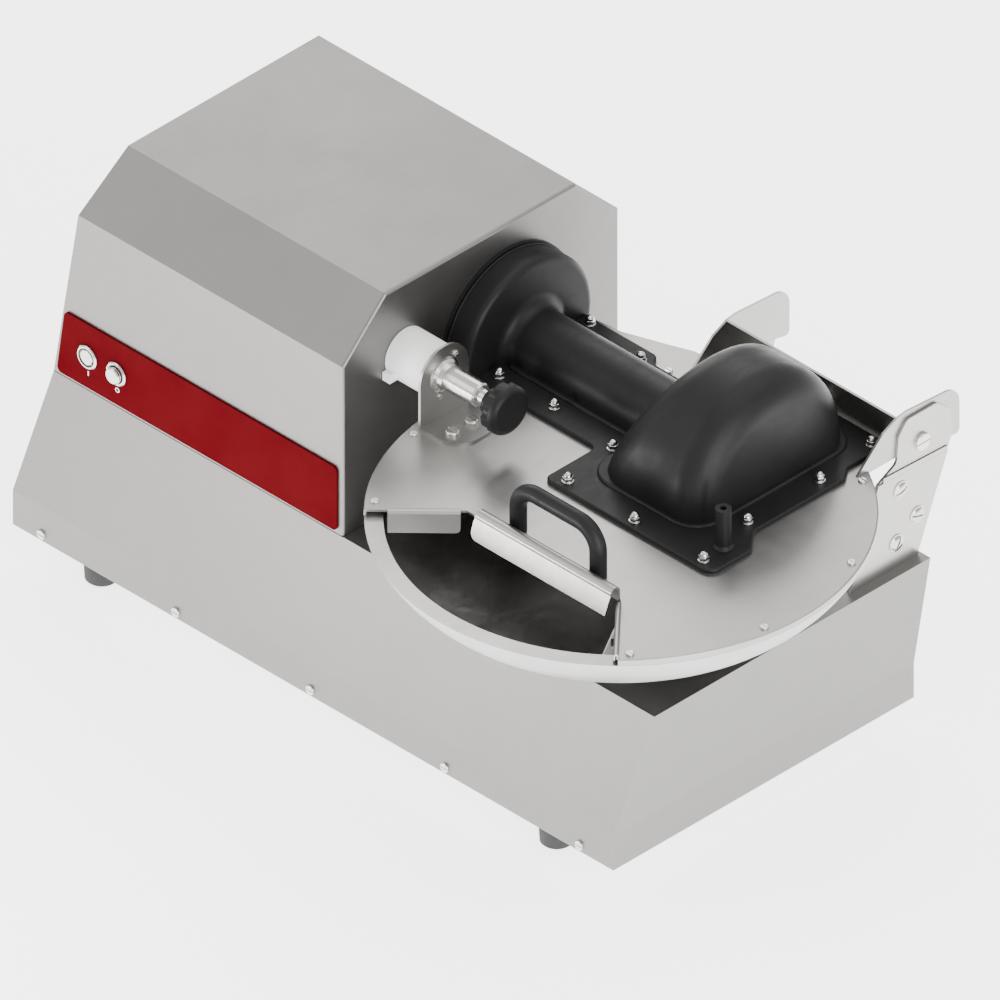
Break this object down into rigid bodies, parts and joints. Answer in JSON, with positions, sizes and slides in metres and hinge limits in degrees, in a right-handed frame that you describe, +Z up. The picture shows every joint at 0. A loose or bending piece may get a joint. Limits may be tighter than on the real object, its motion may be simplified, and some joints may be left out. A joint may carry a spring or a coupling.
{
  "type": "table-top rotating-bowl cutter",
  "caption": "Table-top bowl cutter for vegetables: turning steel bowl, hinged lid with covered sickle knives, belt-driven from a sheet-steel motor housing with push-buttons.",
  "frame": {"origin": "on the floor under the middle of the whole machine", "axes": "+X along the machine from the motor housing to the bowl, +Y from the front to the back, +Z up"},
  "size_m": [0.987, 0.61, 0.4885],
  "materials": {
    "housing_sheet": "satin sheet",
    "zinc_plate": "dull zinc",
    "rubber": "matt",
    "fastener_steel": "bright",
    "red_panel": "semi-gloss red overlay",
    "button_metal": "bright",
    "black_plastic": "moulded, softly glossy",
    "turned_steel": "turned",
    "bowl_steel": "polished inside",
    "lid_steel": "satin brushed",
    "knife_steel": "ground",
    "cast_alloy": "cast",
    "white_plastic": "white",
    "bronze": "machined"
  },
  "bodies": {
    "base": {"base_shell": "housing_sheet", "bottom_plate": "zinc_plate", "rubber_feet": "rubber", "skirt_screws": "fastener_steel", "housing_wrap": "housing_sheet", "housing_left_panel": "housing_sheet", "housing_right_wall": "housing_sheet", "control_panel": "red_panel", "on_button_bezel": "button_metal", "off_button_bezel": "button_metal", "switch_blocks": "black_plastic", "control_box": "zinc_plate", "cable_gland": "black_plastic", "hinge_support_right": "housing_sheet", "hinge_support_left": "housing_sheet", "hinge_posts": "zinc_plate", "hinge_pins": "fastener_steel", "hinge_screws": "fastener_steel", "shaft_ring": "black_plastic", "shaft_boss": "cast_alloy", "knife_bearings": "turned_steel", "rear_bearing_block": "cast_alloy", "motor_body": "cast_alloy", "motor_mount": "zinc_plate", "worm_bearing_blocks": "cast_alloy", "gearbox_case": "cast_alloy", "spindle_collar": "cast_alloy", "spindle_bearings": "turned_steel", "knife_belt": "rubber", "worm_belt": "rubber"},
    "knives": {"knife_shaft": "turned_steel", "knife_nut": "fastener_steel", "knife_inner": "knife_steel", "knife_middle": "knife_steel", "knife_outer": "knife_steel", "knife_pulley": "cast_alloy"},
    "motor": {"motor_shaft": "turned_steel", "motor_pulley": "cast_alloy"},
    "worm": {"worm_shaft": "turned_steel", "worm_pulley": "cast_alloy"},
    "bowl": {"bowl": "bowl_steel", "bowl_hub": "turned_steel", "bowl_spindle": "turned_steel", "worm_wheel": "bronze", "bowl_knob": "white_plastic"},
    "lid": {"lid_sheet": "lid_steel", "knife_cover": "black_plastic", "cover_gasket": "rubber", "cover_nuts": "fastener_steel", "lid_screws": "fastener_steel", "lid_handle": "black_plastic", "plough": "white_plastic", "lock_bracket": "lid_steel", "lock_block": "white_plastic", "lock_sleeve": "turned_steel", "lock_spring": "fastener_steel"},
    "plunger": {"plunger_pin": "turned_steel", "star_knob": "black_plastic"},
    "on_button": {"on_button": "button_metal"},
    "off_button": {"off_button": "button_metal"}
  },
  "joints": [
    {"name": "lid_hinge", "type": "hinge", "parent": "base", "child": "lid", "pos_m": [0.24, 0.248, 0.3557], "axis": [-1, 0, 0], "range_deg": [0, 95]},
    {"name": "motor_spin", "type": "hinge", "parent": "base", "child": "motor", "pos_m": [-0.3, -0.039, 0.308], "axis": [1, 0, 0], "continuous": true},
    {"name": "knife_spin", "type": "hinge", "parent": "base", "child": "knives", "pos_m": [0, 0.085, 0.368], "axis": [1, 0, 0], "continuous": true},
    {"name": "worm_spin", "type": "hinge", "parent": "base", "child": "worm", "pos_m": [0, 0.014, 0.138], "axis": [1, 0, 0], "continuous": true},
    {"name": "bowl_spin", "type": "hinge", "parent": "base", "child": "bowl", "pos_m": [0.236, -0.048, 0.3], "axis": [0, 0, 1], "continuous": true},
    {"name": "lock_pull", "type": "slide", "parent": "lid", "child": "plunger", "axis": [1, 0, 0], "range_m": [0, 0.012], "stiffness_N_per_m": 400, "springref_m": -0.02},
    {"name": "on_press", "type": "slide", "parent": "base", "child": "on_button", "axis": [0, 1, 0], "range_m": [0, 0.0025], "stiffness_N_per_m": 400, "springref_m": -0.002},
    {"name": "off_press", "type": "slide", "parent": "base", "child": "off_button", "axis": [0, 1, 0], "range_m": [0, 0.0025], "stiffness_N_per_m": 400, "springref_m": -0.002}
  ],
  "couplings": [
    {"joint": "knife_spin", "follows": "motor_spin", "ratio": 0.7},
    {"joint": "worm_spin", "follows": "motor_spin", "ratio": 0.58333},
    {"joint": "bowl_spin", "follows": "motor_spin", "ratio": 0.014583}
  ]
}
